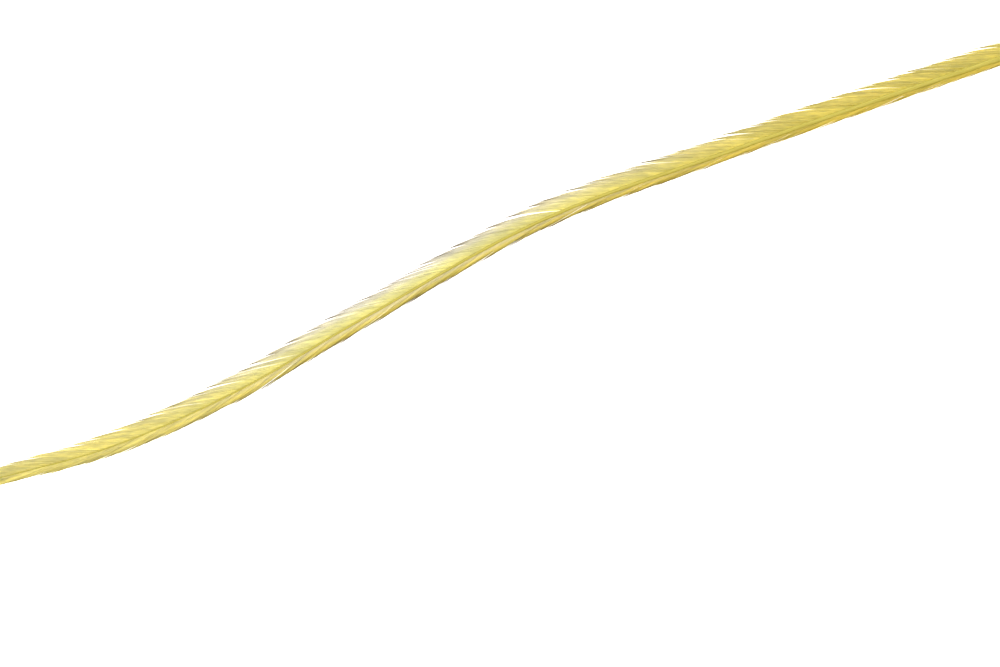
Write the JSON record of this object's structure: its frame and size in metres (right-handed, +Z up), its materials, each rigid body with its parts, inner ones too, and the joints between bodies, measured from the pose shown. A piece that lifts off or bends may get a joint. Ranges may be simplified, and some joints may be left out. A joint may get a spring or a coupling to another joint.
{
  "type": "golden pheasant feather",
  "caption": "Long slender golden display feather with a bare quill, a tapering shaft, narrow vanes of forward-swept barbs in pointed locks and a fine tip, lying on its side.",
  "frame": {"origin": "on the surface that the feather lies on, under the middle of its footprint", "axes": "+X along the feather from the tip to the quill, +Y out over the vane that lies flat, +Z up from the surface"},
  "size_m": [0.157, 0.0086, 0.0018],
  "materials": {
    "keratin": "translucent golden-yellow barbs with a soft silky sheen, thin brown tips and a smooth olive-gold shaft"
  },
  "bodies": {
    "root": {"feather": "keratin"}
  },
  "joints": []
}
